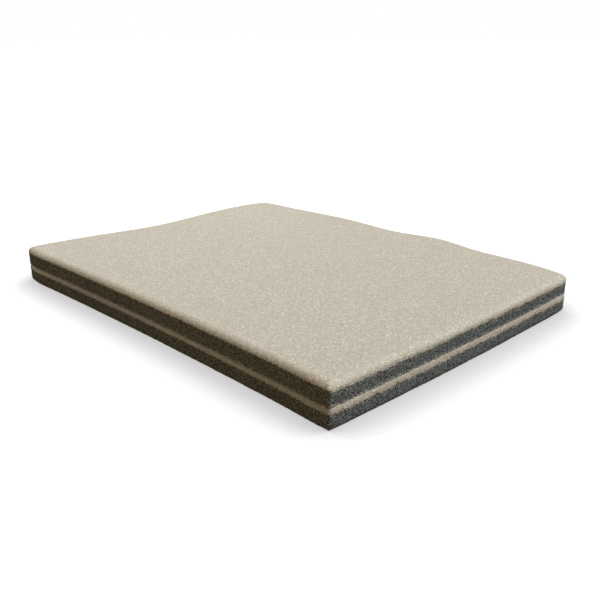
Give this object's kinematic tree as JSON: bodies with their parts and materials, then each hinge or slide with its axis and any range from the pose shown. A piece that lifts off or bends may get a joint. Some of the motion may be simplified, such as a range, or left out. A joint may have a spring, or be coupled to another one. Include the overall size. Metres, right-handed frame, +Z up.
{
  "type": "craft foam sheet",
  "caption": "Rectangular two-ply foam sheet with sandy coated facings rolled over grey foam, rounded rims and two wavy hand-cut edges.",
  "frame": {"origin": "centre of the sheet's footprint, on its underside", "axes": "+X along the long side, +Y across it towards the wavy back edge, +Z up out of the upper facing"},
  "size_m": [0.1397, 0.105, 0.011],
  "materials": {
    "facing": "matt sandy grit coating with fine sparkle",
    "foam": "matt open-cell grey foam"
  },
  "bodies": {
    "root": {"upper_facing": "facing", "upper_foam": "foam", "lower_facing": "facing", "lower_foam": "foam"}
  },
  "joints": []
}
